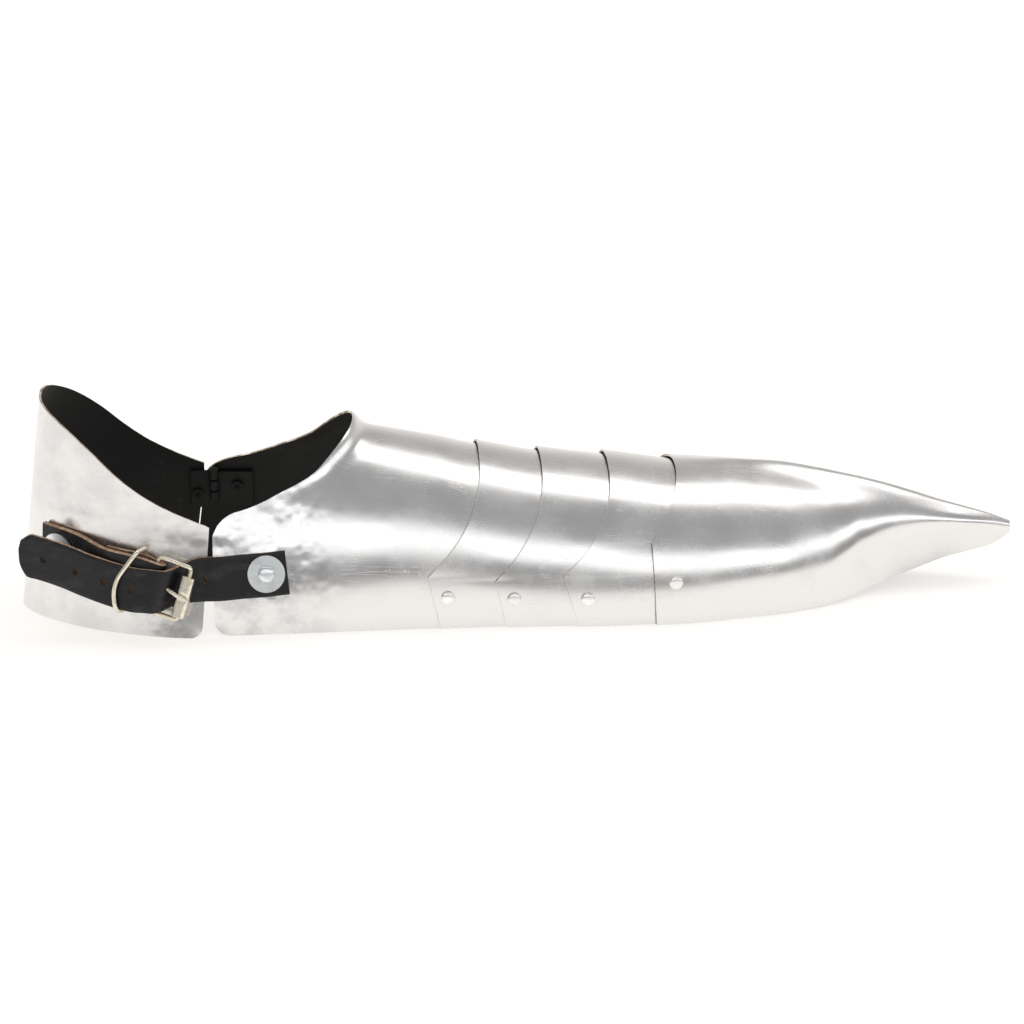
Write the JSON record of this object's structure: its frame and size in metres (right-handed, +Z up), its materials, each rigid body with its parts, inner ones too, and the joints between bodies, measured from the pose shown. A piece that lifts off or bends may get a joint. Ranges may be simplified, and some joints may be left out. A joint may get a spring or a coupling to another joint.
{
  "type": "sabaton",
  "caption": "Plate-armour shoe with lames that flex on side rivets, a pointed toe cap, an open ankle and a strap and buckle across the heel.",
  "frame": {"origin": "middle of the shoe's box, on the floor that the plates stand on", "axes": "+X from heel to toe, -Y the buckle side, +Z up"},
  "size_m": [0.442, 0.1276, 0.095],
  "materials": {
    "steel": "bright satin polish outside, black paint inside",
    "zinc": "zinc-plated rivets and washers",
    "buckle_metal": "worn nickel plate with a warm cast",
    "leather": "black grain with raw tan edges",
    "black_metal": "matt black paint"
  },
  "bodies": {
    "shoe": {"heel_plate": "steel", "vamp": "steel", "billet_strap": "leather", "billet_washer": "zinc", "billet_rivet": "zinc", "buckle_strap": "leather", "buckle_strap_washer": "zinc", "buckle_strap_rivet": "zinc", "buckle_frame": "buckle_metal", "buckle_roller": "buckle_metal", "buckle_tongue": "buckle_metal", "keeper_loop": "buckle_metal", "hinge_leaf_front": "black_metal", "hinge_leaf_heel": "black_metal", "hinge_pin": "black_metal", "hinge_rivet_front": "zinc", "hinge_rivet_heel": "zinc"},
    "lame_rear": {"lame_rear": "steel", "lame_rear_rivet_near": "zinc", "lame_rear_rivet_far": "zinc"},
    "lame_middle": {"lame_middle": "steel", "lame_middle_rivet_near": "zinc", "lame_middle_rivet_far": "zinc"},
    "lame_front": {"lame_front": "steel", "lame_front_rivet_near": "zinc", "lame_front_rivet_far": "zinc"},
    "toe_cap": {"toe_cap": "steel", "toe_cap_rivet_near": "zinc", "toe_cap_rivet_far": "zinc"}
  },
  "joints": [
    {"name": "lame_rear_pivot", "type": "hinge", "parent": "shoe", "child": "lame_rear", "pos_m": [-0.03514, 0.00423, 0.01404], "axis": [0, 1, 0], "range_deg": [-8, 1.5]},
    {"name": "lame_middle_pivot", "type": "hinge", "parent": "lame_rear", "child": "lame_middle", "pos_m": [-0.00651, 0.00423, 0.01278], "axis": [0, 1, 0], "range_deg": [-8, 1.5]},
    {"name": "lame_front_pivot", "type": "hinge", "parent": "lame_middle", "child": "lame_front", "pos_m": [0.02518, 0.00423, 0.01242], "axis": [0, 1, 0], "range_deg": [-8, 1.5]},
    {"name": "toe_cap_pivot", "type": "hinge", "parent": "lame_front", "child": "toe_cap", "pos_m": [0.06347, 0.00423, 0.01872], "axis": [0, 1, 0], "range_deg": [-3.5, 1.5]}
  ]
}
